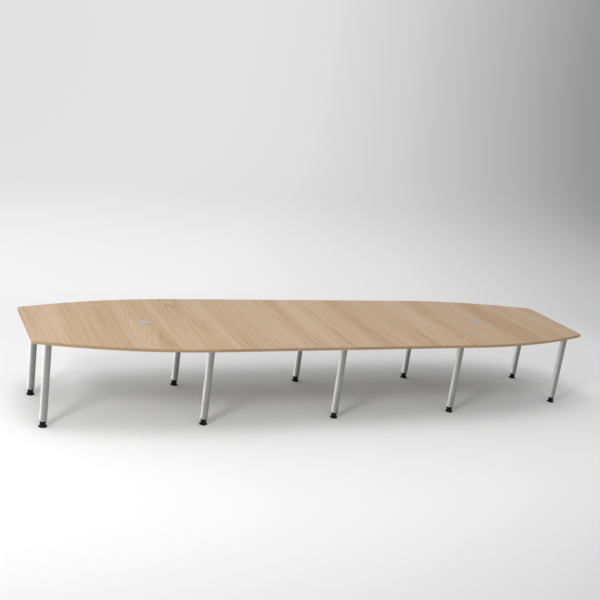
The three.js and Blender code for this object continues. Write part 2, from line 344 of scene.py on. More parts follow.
def lay_grain(band, along):
    layer = band.data.uv_layers.new(name="grain") if not band.data.uv_layers else band.data.uv_layers[0]
    layer.name = "grain"
    for loop in band.data.loops:
        place = band.data.vertices[loop.vertex_index].co
        layer.data[loop.index].uv = (along(place), BAND_GRAIN_FINER * place.z + 0.5 * abs(place.y))


def along_end(place):
    run = (place.x - END) + max(0.0, END_HALF_WIDTH - abs(place.y))
    return run if place.y < 0 else 2 * END_HALF_WIDTH - run


lay_grain(band_end_right, along_end)
lay_grain(band_front_right, lambda place: place.x - 2 * SEAM)

# %% [markdown]
# The table is the same when it is turned half round, so the other boards and bands are copies of these,
# each with its own mesh.

# %% Copy boards and bands to the other places
HALF_TURN = math.pi
boards = {
    "end_right": board_end_right,
    "middle_right": board_middle_right,
    "end_left": copy_to(board_end_right, "board_end_left", (0, 0, 0), HALF_TURN),
    "middle_left": copy_to(board_middle_right, "board_middle_left", (0, 0, 0), HALF_TURN),
}
bands = {
    "end_right": band_end_right,
    "front_right": band_front_right,
    "end_left": copy_to(band_end_right, "band_end_left", (0, 0, 0), HALF_TURN),
    "front_left": copy_to(band_front_right, "band_front_left", (-SEAM, 0, 0)),
    "back_left": copy_to(band_front_right, "band_back_left", (0, 0, 0), HALF_TURN),
    "back_right": copy_to(band_front_right, "band_back_right", (SEAM, 0, 0), HALF_TURN),
}
for place, board in boards.items():
    carry(board, "table", "oak_panel", f"top_{place}")
for place, band in bands.items():
    carry(band, "table", "oak_edge", f"edge_{place}")
print(len(boards), "boards and", len(bands), "bands")

# %% [markdown]
# ## Legs
#
# A leg is a steel tube with a wall of 2 mm, welded under a square plate. The tube is an open cylinder that a Solidify
# modifier makes hollow. It is modelled once at the origin, at its true height, and copied to the ten places at the end.

# %% Leg tube
LEG_LOW, LEG_HIGH = (corner.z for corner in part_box("leg_front_1"))
LEG_RADIUS = 0.030
LEG_WALL = 0.002
PLATE_HALF = (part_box("leg_front_1")[1].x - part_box("leg_front_1")[0].x) / 2
PLATE_THICKNESS = 0.005
PLATE_LOW = LEG_HIGH - PLATE_THICKNESS
TUBE_STEPS = 96

deselect()
bpy.ops.mesh.primitive_cylinder_add(
    vertices=TUBE_STEPS, radius=LEG_RADIUS, depth=PLATE_LOW - LEG_LOW, end_fill_type="NOTHING",
    location=(0, 0, (PLATE_LOW + LEG_LOW) / 2),
)
tube = settle(bpy.context.object, "tube")
apply_modifier(tube, "SOLIDIFY", thickness=LEG_WALL, offset=-1)
ease_edges(tube, 0.0005, segments=2, angle=60)
print("tube from", round(LEG_LOW, 4), "to", round(PLATE_LOW, 4), "m,", len(tube.data.polygons), "faces")

# %% [markdown]
# The plate starts as a cube: its four upright edges are bevelled round, the screw holes are cut with a Boolean, and all
# sharp edges are eased, because powder coat never lies on a knife edge.

# %% Plate with four screw holes
PLATE_CORNER = 0.014
HOLE_RADIUS = 0.00325
HOLE_FROM_CENTRE = 0.059


def screw_plate(name, half_x, half_y, low, high, corner, hole_x, hole_y):
    plate = block(name, (-half_x, -half_y, low), (half_x, half_y, high))
    edit(plate)
    pick("EDGE", lambda e: abs(e.verts[0].co.z - e.verts[1].co.z) > (high - low) / 2)
    bpy.ops.mesh.bevel(offset=corner, segments=8, affect="EDGES")
    close_up(plate)
    for x in (-hole_x, hole_x):
        for y in (-hole_y, hole_y):
            deselect()
            bpy.ops.mesh.primitive_cylinder_add(
                vertices=32, radius=HOLE_RADIUS, depth=4 * (high - low), location=(x, y, (low + high) / 2)
            )
            cut(plate, bpy.context.object)
    ease_edges(plate, 0.0004, segments=2)
    return plate


leg_plate = screw_plate(
    "leg_plate", PLATE_HALF, PLATE_HALF, PLATE_LOW, LEG_HIGH, PLATE_CORNER, HOLE_FROM_CENTRE, HOLE_FROM_CENTRE
)
print("leg plate", len(leg_plate.data.polygons), "faces")

# %% [markdown]
# The weld is a ring where tube and plate meet. A weld is laid in small overlapping steps, so its ring is
# not smooth: every third slice of a torus is drawn out a little.

# %% Weld and finished leg
WELD_RADIUS = 0.0026
WELD_SLICES = 96

deselect()
bpy.ops.mesh.primitive_torus_add(
    major_segments=WELD_SLICES, minor_segments=12, major_radius=LEG_RADIUS + 0.0008, minor_radius=WELD_RADIUS,
    location=(0, 0, PLATE_LOW - 0.0006),
)
weld = settle(bpy.context.object, "weld")
edit(weld)
ripples = pick("VERT", lambda v: round(math.atan2(v.co.y, v.co.x) / (2 * math.pi) * WELD_SLICES) % 3 == 0)
bpy.ops.transform.resize(value=(1.012, 1.012, 1.0), center_override=(0, 0, PLATE_LOW))
bpy.ops.object.mode_set(mode="OBJECT")
leg = join([tube, leg_plate, weld], "leg")
smooth(leg, 40)
print("leg", len(leg.data.polygons), "faces, weld ripples at", ripples // 12, "places")

# %% [markdown]
# ## Levelling feet
#
# A foot has three pieces: an insert pressed into the tube, a hand knob on a threaded spindle that turns in it, and a flared
# pad on the floor. All are turned shapes. A Screw modifier on a drawn profile would do, but growing a ring of vertices
# step by step with extrude and scale shows better how the profile runs.

# %% A turned piece, ring by ring
def turned(name, profile, steps, closed=False):
    (radius, height), rest = profile[0], profile[1:]
    deselect()
    bpy.ops.mesh.primitive_circle_add(vertices=steps, radius=radius, location=(0, 0, height))
    piece = settle(bpy.context.object, name)
    edit(piece)
    for next_radius, next_height in rest:
        bpy.ops.mesh.extrude_region_move(TRANSFORM_OT_translate={"value": (0, 0, next_height - height)})
        scale = next_radius / radius
        bpy.ops.transform.resize(value=(scale, scale, 1), center_override=(0, 0, next_height))
        radius, height = next_radius, next_height
    bpy.ops.mesh.select_all(action="SELECT")
    bpy.ops.mesh.remove_doubles(threshold=1e-6)
    if not closed:
        bpy.ops.mesh.select_all(action="DESELECT")
        bpy.ops.mesh.select_non_manifold(extend=False)
        bpy.ops.mesh.fill_holes(sides=0)
    bpy.ops.mesh.select_all(action="SELECT")
    bpy.ops.mesh.normals_make_consistent(inside=False)
    bpy.ops.object.mode_set(mode="OBJECT")
    return piece


INSERT_LOW, INSERT_HIGH = (corner.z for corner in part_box("foot_insert_front_1"))
FLANGE_HIGH = LEG_LOW - 0.0003
FLANGE_LOW = FLANGE_HIGH - 0.002
COLLAR_RADIUS = 0.027
FLANGE_RADIUS = 0.029
SLEEVE_RADIUS = 0.0277
SPINDLE_BORE = 0.0063
TURN_STEPS = 72

foot_insert = turned(
    "foot_insert",
    [
        (SPINDLE_BORE, INSERT_LOW), (COLLAR_RADIUS, INSERT_LOW), (COLLAR_RADIUS, FLANGE_LOW),
        (FLANGE_RADIUS, FLANGE_LOW), (FLANGE_RADIUS, FLANGE_HIGH), (SLEEVE_RADIUS, FLANGE_HIGH),
        (SLEEVE_RADIUS, INSERT_HIGH), (SPINDLE_BORE, INSERT_HIGH), (SPINDLE_BORE, INSERT_LOW),
    ],
    TURN_STEPS, closed=True,
)
ease_edges(foot_insert, 0.0007, segments=3)
smooth(foot_insert)
print("insert", len(foot_insert.data.polygons), "faces")

# %% [markdown]
# The knob is gripped with two fingers, so it has flutes round its side. Every third side face is inset on its
# own and pushed in.

# %% Knob with grip flutes
KNOB_RADIUS = 0.0225
KNOB_LOW, KNOB_HIGH = 0.0193, 0.0360
STUB_RADIUS = 0.0077
STUB_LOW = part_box("foot_adjuster_front_1")[0].z
ROD_RADIUS = 0.0051
FLUTE_DEPTH = 0.0009

knob = turned(
    "knob",
    [
        (STUB_RADIUS, STUB_LOW), (STUB_RADIUS, KNOB_LOW), (KNOB_RADIUS - 0.0012, KNOB_LOW),
        (KNOB_RADIUS, KNOB_LOW + 0.0012), (KNOB_RADIUS, KNOB_HIGH - 0.0014), (KNOB_RADIUS - 0.0014, KNOB_HIGH),
        (0.0105, KNOB_HIGH), (0.0100, KNOB_HIGH - 0.0006), (ROD_RADIUS, KNOB_HIGH - 0.0006),
    ],
    TURN_STEPS,
)
edit(knob)


def flute(face):
    centre = middle(face)
    sector = math.floor(math.atan2(centre.y, centre.x) / (2 * math.pi) * TURN_STEPS)
    return abs(face.normal.z) < 0.1 and centre.to_2d().length > 0.02 and sector % 3 == 0


flutes = pick("FACE", flute)
bpy.ops.mesh.inset(thickness=0.0003, depth=-FLUTE_DEPTH, use_individual=True)
bpy.ops.object.mode_set(mode="OBJECT")
smooth(knob, 30)
print("knob with", flutes, "flutes,", len(knob.data.polygons), "faces")

# %% [markdown]
# The spindle carries a real screw thread of 1.75 mm pitch. A triangle, made from a small plane by merging its two outer
# corners, is wound up the rod by a Screw modifier.

# %% Threaded spindle
THREAD_PITCH = 0.00175
THREAD_CREST = 0.0060
ROD_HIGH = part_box("foot_adjuster_front_1")[1].z
THREAD_TURNS = 34

rod = turned(
    "rod",
    [(ROD_RADIUS, KNOB_HIGH - 0.0006), (ROD_RADIUS, ROD_HIGH - 0.001), (ROD_RADIUS - 0.001, ROD_HIGH)],
    24,
)
smooth(rod)
deselect()
bpy.ops.mesh.primitive_plane_add(
    size=1, location=((ROD_RADIUS + THREAD_CREST) / 2 - 0.0001, 0, KNOB_HIGH + 0.0006), rotation=(math.pi / 2, 0, 0)
)
bpy.context.object.scale = (THREAD_CREST - ROD_RADIUS + 0.0002, 0.85 * THREAD_PITCH, 1)
thread = settle(bpy.context.object, "thread")
edit(thread)
pick("VERT", lambda v: v.co.x > (ROD_RADIUS + THREAD_CREST) / 2)
bpy.ops.mesh.merge(type="CENTER")
bpy.ops.mesh.select_all(action="SELECT")
bpy.ops.mesh.delete(type="ONLY_FACE")
bpy.ops.object.mode_set(mode="OBJECT")
apply_modifier(
    thread, "SCREW", axis="Z", angle=2 * math.pi, screw_offset=THREAD_PITCH, iterations=THREAD_TURNS,
    steps=20, render_steps=20, use_merge_vertices=False,
)
edit(thread)
bpy.ops.mesh.fill_holes(sides=3)
close_up(thread)
smooth(thread, 30)
print("thread", len(thread.data.polygons), "faces, up to", round(max(v.co.z for v in thread.data.vertices), 4), "m")

# %% [markdown]
# The pad spreads the load on the floor. Its side is one hollow curve from the rim up to the neck, taken from a
# quadratic curve through three points. Underneath, an inset and a small push leave the ring it stands on.

# %% Flared pad
PAD_RADIUS = 0.033
PAD_NECK_RADIUS = 0.023
PAD_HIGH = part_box("foot_pad_front_1")[1].z
PAD_RIM = 0.005
FLARE_STEPS = 10
SOCKET_RADIUS = 0.008
SOCKET_LOW = PAD_HIGH - 0.010

flare_ends = Vector((PAD_RADIUS, PAD_RIM)), Vector((0.026, 0.009)), Vector((PAD_NECK_RADIUS, PAD_HIGH))


def flare(t):
    a, b, c = flare_ends
    return tuple((1 - t) ** 2 * a + 2 * t * (1 - t) * b + t**2 * c)


pad = turned(
    "pad",
    [(PAD_RADIUS - 0.0015, 0), (PAD_RADIUS - 0.0005, 0.0004), (PAD_RADIUS, 0.0015)]
    + [flare(i / FLARE_STEPS) for i in range(FLARE_STEPS + 1)]
    + [(SOCKET_RADIUS, PAD_HIGH), (SOCKET_RADIUS, SOCKET_LOW)],
    TURN_STEPS,
)
edit(pad)
pick("FACE", lambda f: f.normal.z < -0.9 and middle(f).z < 1e-4)
bpy.ops.mesh.inset(thickness=0.005)
bpy.ops.mesh.inset(thickness=0.001, depth=-0.001)
bpy.ops.object.mode_set(mode="OBJECT")
smooth(pad)
print("pad", len(pad.data.polygons), "faces, height", round(PAD_HIGH, 4))

# %% [markdown]
# Knob, rod and thread are one moving piece, so they are joined. Now that the foot and leg are finished, copies go to
# the ten places that the CAD gives, and each rides on its own body: the insert with the table, the pad with its slide,
# and the knob with its screw.

# %% Copy legs and feet to the ten places
adjuster = join([knob, rod, thread], "adjuster")
LEG_LABELS = [f"{row}_{number}" for row in ("front", "back") for number in range(1, 6)]
legs, inserts, adjusters, pads = {}, {}, {}, {}
for label in LEG_LABELS:
    spot = sum(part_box(f"foot_pad_{label}"), Vector()) / 2
    spot.z = 0
    legs[label] = copy_to(leg, f"tube_leg_{label}", spot)
    inserts[label] = copy_to(foot_insert, f"tube_insert_{label}", spot)
    adjusters[label] = copy_to(adjuster, f"levelling_knob_{label}", spot)
    pads[label] = copy_to(pad, f"floor_pad_{label}", spot)
    carry(legs[label], "table", "silver_coat", f"leg_{label}")
    carry(inserts[label], "table", "black_plastic", f"foot_insert_{label}")
    carry(adjusters[label], f"adjuster_{label}", "black_plastic", f"foot_adjuster_{label}")
    carry(pads[label], f"pad_{label}", "black_plastic", f"foot_pad_{label}")
for pattern in (leg, foot_insert, adjuster, pad):
    bpy.data.objects.remove(pattern, do_unlink=True)
print(len(legs), "legs with feet, knob", len(adjusters["front_1"].data.polygons), "faces")

# %% [markdown]
# ## Cable outlets
#
# A liner sits in each bore of the end boards. It is turned from one closed profile: a sleeve, a flange on top of the board
# with a soft rim, and an inner ledge that carries the cap. A half-moon shelf closes the ledge on the front side,
# made from a filled circle that is cut by a plane.

# %% Outlet liner
LINER_LOW, LINER_HIGH = (corner.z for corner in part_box("outlet_liner_right"))
LINER_RADIUS = 0.0397
RECESS_RADIUS = 0.0377
LEDGE_RADIUS = 0.0337
FLANGE_OUT = (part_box("outlet_liner_right")[1].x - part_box("outlet_liner_right")[0].x) / 2
CAP_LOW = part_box("outlet_cap_right")[0].z
LEDGE_HIGH = CAP_LOW - 0.0003
LEDGE_LOW = LEDGE_HIGH - 0.002
SHELF_FROM_CENTRE = 0.008
OUTLET_STEPS = 96

liner = turned(
    "liner",
    [
        (RECESS_RADIUS, LINER_LOW), (LINER_RADIUS, LINER_LOW), (LINER_RADIUS, TOP_HIGH + 0.0002),
        (FLANGE_OUT, TOP_HIGH + 0.0002), (FLANGE_OUT, LINER_HIGH - 0.0011), (FLANGE_OUT - 0.0003, LINER_HIGH - 0.0005),
        (FLANGE_OUT - 0.0009, LINER_HIGH - 0.0001), (FLANGE_OUT - 0.0016, LINER_HIGH), (RECESS_RADIUS, LINER_HIGH),
        (RECESS_RADIUS, LEDGE_HIGH), (LEDGE_RADIUS, LEDGE_HIGH), (LEDGE_RADIUS, LEDGE_LOW), (RECESS_RADIUS, LEDGE_LOW),
        (RECESS_RADIUS, LINER_LOW),
    ],
    OUTLET_STEPS, closed=True,
)
ease_edges(liner, 0.0003, segments=2, angle=60)
deselect()
bpy.ops.mesh.primitive_circle_add(
    vertices=OUTLET_STEPS, radius=LEDGE_RADIUS + 0.001, fill_type="NGON", location=(0, 0, LEDGE_HIGH)
)
shelf = settle(bpy.context.object, "shelf")
edit(shelf)
bpy.ops.mesh.bisect(plane_co=(0, -SHELF_FROM_CENTRE, 0), plane_no=(0, 1, 0), clear_outer=True)
bpy.ops.mesh.select_all(action="SELECT")
bpy.ops.mesh.extrude_region_move(TRANSFORM_OT_translate={"value": (0, 0, LEDGE_LOW - LEDGE_HIGH)})
close_up(shelf)
ease_edges(shelf, 0.0003, segments=2)
liner = join([liner, shelf], "liner")
smooth(liner)
print("liner", len(liner.data.polygons), "faces, flange", round(2 * FLANGE_OUT, 4), "m across")

# %% [markdown]
# The cap is a disc with a shallow dish, turned ring by ring like the liner. A round-ended notch for the cables is cut out
# with a cylinder and a block, and last all the sharp edges are eased.

# %% Outlet cap
CAP_RADIUS = 0.0371
CAP_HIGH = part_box("outlet_cap_right")[1].z
CAP_RIM = 0.0034
DISH_DEPTH = 0.0005
DISH_RADIUS = CAP_RADIUS - CAP_RIM - 0.0008
NOTCH_RADIUS = 0.011
NOTCH_FROM_CENTRE = 0.026

cap = turned(
    "cap",
    [
        (CAP_RADIUS, CAP_LOW), (CAP_RADIUS, CAP_HIGH), (CAP_RADIUS - CAP_RIM, CAP_HIGH),
        (DISH_RADIUS, CAP_HIGH - DISH_DEPTH),
    ],
    OUTLET_STEPS,
)
deselect()
bpy.ops.mesh.primitive_cylinder_add(
    vertices=48, radius=NOTCH_RADIUS, depth=0.02, location=(0, -NOTCH_FROM_CENTRE, CAP_LOW)
)
cut(cap, bpy.context.object)
cut(
    cap,
    block("notch", (-NOTCH_RADIUS, -0.05, CAP_LOW - 0.01), (NOTCH_RADIUS, -NOTCH_FROM_CENTRE, CAP_HIGH + 0.01)),
)
ease_edges(cap, 0.0003, segments=2, angle=50)
smooth(cap)
print("cap", len(cap.data.polygons), "faces")

# %% Put the outlets in their bores
liners, caps = {}, {}
for side in ("left", "right"):
    spot = sum(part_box(f"outlet_liner_{side}"), Vector()) / 2
    spot.z = 0
    liners[side] = copy_to(liner, f"outlet_ring_{side}", spot)
    caps[side] = copy_to(cap, f"outlet_lid_{side}", spot)
    carry(liners[side], "table", "grey_plastic", f"outlet_liner_{side}")
    carry(caps[side], f"cap_{side}", "grey_plastic", f"outlet_cap_{side}")
for pattern in (liner, cap):
    bpy.data.objects.remove(pattern, do_unlink=True)

# %% [markdown]
# ## Joining plates and screws
#
# Under each seam a flat zinc plate ties two boards together. Every plate, also those of the legs, is held by four
# pan-head screws. A screw head is a short cylinder with a domed rim and a cross recess, which two crossed
# blocks cut out.

# %% Joining plates
SEAM_PLATE_CORNER = 0.008
SEAM_HOLE_X, SEAM_HOLE_Y = 0.065, 0.016
seam_low, seam_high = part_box("seam_plate_middle")
joining_plate = screw_plate(
    "joining_plate", seam_high.x, seam_high.y, seam_low.z, seam_high.z, SEAM_PLATE_CORNER, SEAM_HOLE_X, SEAM_HOLE_Y
)
smooth(joining_plate)
joining_plates = {}
for side, x in (("left", -SEAM), ("middle", 0), ("right", SEAM)):
    joining_plates[side] = copy_to(joining_plate, f"joining_plate_{side}", (x, 0, 0))
    carry(joining_plates[side], "table", "zinc_steel", f"seam_plate_{side}")
bpy.data.objects.remove(joining_plate, do_unlink=True)
print(len(joining_plates), "joining plates")

# %% Screws
SCREW_HEAD_RADIUS = 0.0055
SCREW_HEAD_HEIGHT = 0.0026

deselect()
bpy.ops.mesh.primitive_cylinder_add(
    vertices=32, radius=SCREW_HEAD_RADIUS, depth=SCREW_HEAD_HEIGHT, location=(0, 0, -SCREW_HEAD_HEIGHT / 2)
)
screw = settle(bpy.context.object, "screw")
edit(screw)
pick("FACE", lambda f: f.normal.z < -0.9)
bpy.ops.mesh.region_to_loop()
bpy.ops.mesh.bevel(offset=0.0017, segments=4, affect="EDGES")
bpy.ops.object.mode_set(mode="OBJECT")
for long_x, long_y in ((0.0024, 0.0005), (0.0005, 0.0024)):
    cut(screw, block("recess", (-long_x, -long_y, -0.01), (long_x, long_y, -0.0010)))
smooth(screw)
print("screw", len(screw.data.polygons), "faces")


def screws_at(name, centre, hole_x, hole_y, height):
    made = [
        copy_to(screw, "screw_copy", (centre.x + x, centre.y + y, height), (x * 37 + y * 91) % 3)
        for x in (-hole_x, hole_x) for y in (-hole_y, hole_y)
    ]
    made = join(made, name)
    carry(made, "table", "zinc_steel")
    return made


screws = [
    screws_at(
        f"plate_screws_{label}", sum(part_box(f"foot_pad_{label}"), Vector()) / 2, HOLE_FROM_CENTRE, HOLE_FROM_CENTRE,
        PLATE_LOW,
    )
    for label in LEG_LABELS
]
screws += [
    screws_at(
        f"joining_screws_{side}", sum(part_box(f"seam_plate_{side}"), Vector()) / 2, SEAM_HOLE_X, SEAM_HOLE_Y, seam_low.z
    )
    for side in joining_plates
]
bpy.data.objects.remove(screw, do_unlink=True)
print(len(screws), "sets of four screws")

# %% [markdown]
# ## Finishes
#
# Every finish is a Principled shader fed by noise, in metres on Object coordinates, so that the grain and grit have their
# true size. These few helpers keep the node trees readable.

# %% Node helpers
def new_finish(name, roughness, metallic=0.0, **sockets):
    finish = bpy.data.materials.new(name)
    finish.use_nodes = True
    shader = finish.node_tree.nodes["Principled BSDF"]
    shader.inputs["Roughness"].default_value = roughness
    shader.inputs["Metallic"].default_value = metallic
    for socket, value in sockets.items():
        shader.inputs[socket.replace("_", " ")].default_value = value
    return finish, shader


def add(finish, kind, **settings):
    node = finish.node_tree.nodes.new(kind)
    for setting, value in settings.items():
        setattr(node, setting, value)
    return node


def feed(finish, socket, value):
    if isinstance(value, bpy.types.NodeSocket):
        finish.node_tree.links.new(value, socket)
    else:
        socket.default_value = value


def sums(finish, operation, *values):
    node = add(finish, "ShaderNodeMath", operation=operation)
    for socket, value in zip(node.inputs, values):
        feed(finish, socket, value)
    return node.outputs[0]


def placed(finish, scale=(1, 1, 1), shift=(0, 0, 0), source="Object"):
    coordinates = add(finish, "ShaderNodeTexCoord").outputs[source]
    mapping = add(finish, "ShaderNodeMapping")
    feed(finish, mapping.inputs["Vector"], coordinates)
    mapping.inputs["Location"].default_value = shift
    mapping.inputs["Scale"].default_value = scale
    return mapping.outputs["Vector"]


def noise(finish, where, scale=1.0, detail=2.0, roughness=0.5):
    node = add(finish, "ShaderNodeTexNoise")
    feed(finish, node.inputs["Vector"], where)
    node.inputs["Scale"].default_value = scale
    node.inputs["Detail"].default_value = detail
    node.inputs["Roughness"].default_value = roughness
    return node.outputs["Fac"]


def ramp(finish, value, *stops):
    node = add(finish, "ShaderNodeValToRGB")
    feed(finish, node.inputs["Fac"], value)
    elements = node.color_ramp.elements
    while len(elements) < len(stops):
        elements.new(0.5)
    for element, (position, shade) in zip(elements, stops):
        element.position = position
        element.color = (*shade, 1) if isinstance(shade, tuple) else (shade, shade, shade, 1)
    return node.outputs["Color"]


def bump(finish, shader, height, distance, strength=1.0):
    node = add(finish, "ShaderNodeBump")
    feed(finish, node.inputs["Height"], height)
    node.inputs["Distance"].default_value = distance
    node.inputs["Strength"].default_value = strength
    feed(finish, shader.inputs["Normal"], node.outputs["Normal"])


def dress(pieces, finish):
    for piece in pieces:
        piece.data.materials.clear()
        piece.data.materials.append(finish)


# %% [markdown]
# ### Oak
#
# The boards are faced with a light oak print whose grain runs across the table. Grain is layered from wide to fine: broad
# tone bands, stripes, growth rings that open into arches, long streaks, fine lines and the short dark pores. Stretching
# a noise makes streaks; the arches are contour lines of a slow noise. Every board is cut from another place of the
# print, so each has its own start in X and no figure comes twice.

# %% Oak finish
OAK_PALE = (0.574, 0.419, 0.286)
OAK_HONEY = (0.520, 0.351, 0.207)
OAK_DARK = (0.345, 0.216, 0.101)


def layered(finish, start, *layers):
    total = start
    for value, share in layers:
        total = sums(finish, "MULTIPLY_ADD", value, share, total)
    return total


def blended(finish, share, one, other):
    node = add(finish, "ShaderNodeMix", data_type="RGBA")
    for socket, value in zip((node.inputs[0], node.inputs[6], node.inputs[7]), (share, one, other)):
        feed(finish, socket, (*value, 1) if isinstance(value, tuple) else value)
    return node.outputs[2]


def oak(name, along, across, shift, source="Object", depth=0.0):
    """along and across are the axes, 0 for X and 1 for Y, on which the grain runs and the rings step."""
    finish, shader = new_finish(name, 0.5, Specular_IOR_Level=0.4)

    def stretched(per_across, per_along, detail=2.0, roughness=0.5):
        scale = [0.0, 0.0, 0.0]
        scale[across], scale[along], scale[2] = per_across, per_along, per_across
        return noise(finish, placed(finish, scale, [s * f for s, f in zip(shift, scale)], source), 1.0, detail, roughness)

    place = add(finish, "ShaderNodeSeparateXYZ")
    feed(finish, place.inputs[0], placed(finish, (1, 1, 1), shift, source))
    arches = stretched(1.9, 0.26, 1.0)
    sway = stretched(9.0, 2.2, 2.0)
    wobble = stretched(60.0, 7.0, 2.0)
    phase = sums(finish, "MULTIPLY", place.outputs[across], 40.0)
    phase = layered(finish, phase, (arches, 46.0), (sway, 0.9), (wobble, 0.16))
    ring = ramp(finish, sums(finish, "FRACT", phase), (0.0, 0.0), (0.07, 1.0), (0.30, 0.45), (1.0, 0.0))
    figured = ramp(finish, stretched(2.6, 0.22, 1.0), (0.40, 0.12), (0.60, 1.0))
    ring = sums(finish, "MULTIPLY", ring, figured)
    tone = ramp(finish, stretched(5.0, 0.20, 2.0), (0.32, 0.0), (0.68, 1.0))
    streak = stretched(90.0, 1.0, 4.0, 0.70)
    stripe = stretched(20.0, 0.4, 3.0, 0.6)
    line = stretched(330.0, 6.5, 2.0, 0.6)
    pore = ramp(finish, stretched(1150.0, 42.0, 1.0), (0.58, 0.0), (0.70, 1.0))
    pore = sums(finish, "MULTIPLY", pore, sums(finish, "MULTIPLY_ADD", ring, 0.9, 0.35))
    honey = layered(
        finish, -0.98, (tone, 0.95), (streak, 0.80), (stripe, 0.55), (figured, 0.20), (ring, 0.35)
    )
    # A depth above zero spreads the dark grain further and darkens the whole print; on the bands this darkening is
    # painted shade.
    dark = layered(
        finish, depth - 1.98,
        (ring, 0.60), (streak, 2.0), (stripe, 0.90), (line, 0.75), (pore, 0.30), (tone, 0.25),
    )
    dark = sums(finish, "MAXIMUM", dark, 0.0)
    ground = blended(finish, honey, OAK_PALE, OAK_HONEY)
    grain = blended(finish, dark, ground, OAK_DARK)
    feed(finish, shader.inputs["Base Color"], blended(finish, sums(finish, "MULTIPLY", pore, 0.8), grain, OAK_DARK))
    feed(finish, shader.inputs["Roughness"], sums(finish, "MULTIPLY_ADD", line, 0.12, 0.42))
    bump(finish, shader, sums(finish, "MULTIPLY_ADD", pore, -0.8, line), 0.00005, 0.5)
    return finish


BOARD_STARTS = {"end_left": 26.1, "middle_left": 4.1, "middle_right": 6.4, "end_right": 13.3}
for place, start in BOARD_STARTS.items():
    dress([boards[place]], oak(f"oak_{place}", 1, 0, (start + 5.3, 3.1, 0.0)))
# The bands take the same oak made darker by a depth of 0.48: painted shade for the upright edges, which face away from
# the light.
oak_band_painted_shade = oak("oak_band_painted_shade", 0, 1, (7.7, 2.3, 0.0), "UV", 0.48)
dress(bands.values(), oak_band_painted_shade)
print("oak on", len(boards), "boards and", len(bands), "bands")

# %% [markdown]
# ### Backing sheet
#
# The underside of a laminated board has a plain grey sheet, which balances the pull of the printed one. It is a second
# material on the same mesh, given only to the faces that look down.

# %% Backing sheet
backing, shader = new_finish("backing_sheet", 0.7, Specular_IOR_Level=0.3)
fibre = noise(backing, placed(backing, (260.0, 40.0, 260.0)), 1.0, 4.0, 0.6)
mottle = noise(backing, placed(backing), 18.0, 3.0)
shade = layered(backing, 0.0, (fibre, 0.5), (mottle, 0.5))
feed(backing, shader.inputs["Base Color"], ramp(backing, shade, (0.3, (0.345, 0.335, 0.32)), (0.7, (0.435, 0.425, 0.41))))
feed(backing, shader.inputs["Roughness"], sums(backing, "MULTIPLY_ADD", fibre, 0.2, 0.6))
bump(backing, shader, fibre, 0.00005, 0.4)
for board in boards.values():
    board.data.materials.append(backing)
    edit(board)
    pick("FACE", lambda f: f.normal.z < -0.9)
    board.active_material_index = 1
    bpy.ops.object.material_slot_assign()
    deselect()

# %% [markdown]
# ### Silver powder coat
#
# The legs are steel under a silver powder coat: metal flakes in clear resin, with a slight orange-peel skin. Most of it
# is a rough metal; a fine noise varies roughness and brightness from flake to flake, and a coarser one gives the skin.

# %% Silver finish
silver, shader = new_finish("silver_powder", 0.7, 0.9)
where = placed(silver)
flake = noise(silver, where, 5200.0, 1.0)
skin = noise(silver, where, 900.0, 1.0)
cloud = noise(silver, where, 14.0, 3.0)
spread = sums(silver, "MULTIPLY_ADD", flake, 0.6, sums(silver, "MULTIPLY", cloud, 0.4))
feed(silver, shader.inputs["Base Color"], ramp(silver, spread, (0.2, (0.352, 0.351, 0.348)), (0.8, (0.488, 0.486, 0.482))))
feed(silver, shader.inputs["Roughness"], sums(silver, "MULTIPLY_ADD", flake, 0.20, 0.60))
bump(silver, shader, sums(silver, "MULTIPLY_ADD", flake, 0.25, skin), 0.00006, 0.35)
dress(legs.values(), silver)

# %% [markdown]
# ### Black and grey plastic
# The feet are moulded black plastic and the outlets silver-grey plastic. Both have a fine spark-eroded grain from the
# mould. The black is worn a little paler on the pads, where shoes and mops touch them.

# %% Plastic finishes
def moulded(name, deep, pale, grain_scale, roughness, gloss):
    finish, shader = new_finish(name, roughness, Specular_IOR_Level=gloss)
    where = placed(finish)
    grain = noise(finish, where, grain_scale, 2.0)
    cloud = noise(finish, where, 60.0, 3.0)
    mixed = sums(finish, "MULTIPLY_ADD", grain, 0.5, sums(finish, "MULTIPLY", cloud, 0.5))
    feed(finish, shader.inputs["Base Color"], ramp(finish, mixed, (0.25, deep), (0.75, pale)))
    feed(finish, shader.inputs["Roughness"], sums(finish, "MULTIPLY_ADD", cloud, 0.2, roughness - 0.1))
    bump(finish, shader, grain, 0.00008, 0.4)
    return finish


black = moulded("moulded_black", (0.002, 0.002, 0.0022), (0.006, 0.006, 0.0064), 2600.0, 0.45, 0.22)
grey = moulded("moulded_grey", (0.405, 0.40, 0.39), (0.475, 0.47, 0.46), 2200.0, 0.42, 0.4)
dress([*inserts.values(), *adjusters.values(), *pads.values()], black)
dress([*liners.values(), *caps.values()], grey)

# %% [markdown]
# ### Zinc
#
# Plates and screws are zinc plated: a bright metal with cloudy passivation and fine brushing.

# %% Zinc finish
zinc, shader = new_finish("zinc_plate", 0.38, 0.9)
cloud = noise(zinc, placed(zinc), 35.0, 4.0)
brush = noise(zinc, placed(zinc, (1800.0, 40.0, 1800.0)), 1.0, 2.0)
feed(zinc, shader.inputs["Base Color"], ramp(zinc, cloud, (0.3, (0.50, 0.52, 0.53)), (0.7, (0.66, 0.66, 0.64))))
feed(zinc, shader.inputs["Roughness"], sums(zinc, "MULTIPLY_ADD", brush, 0.25, 0.25))
bump(zinc, shader, brush, 0.00004, 0.4)
dress([*joining_plates.values(), *screws], zinc)
print("finishes:", ", ".join(m.name for m in bpy.data.materials if m.users and m.use_nodes))
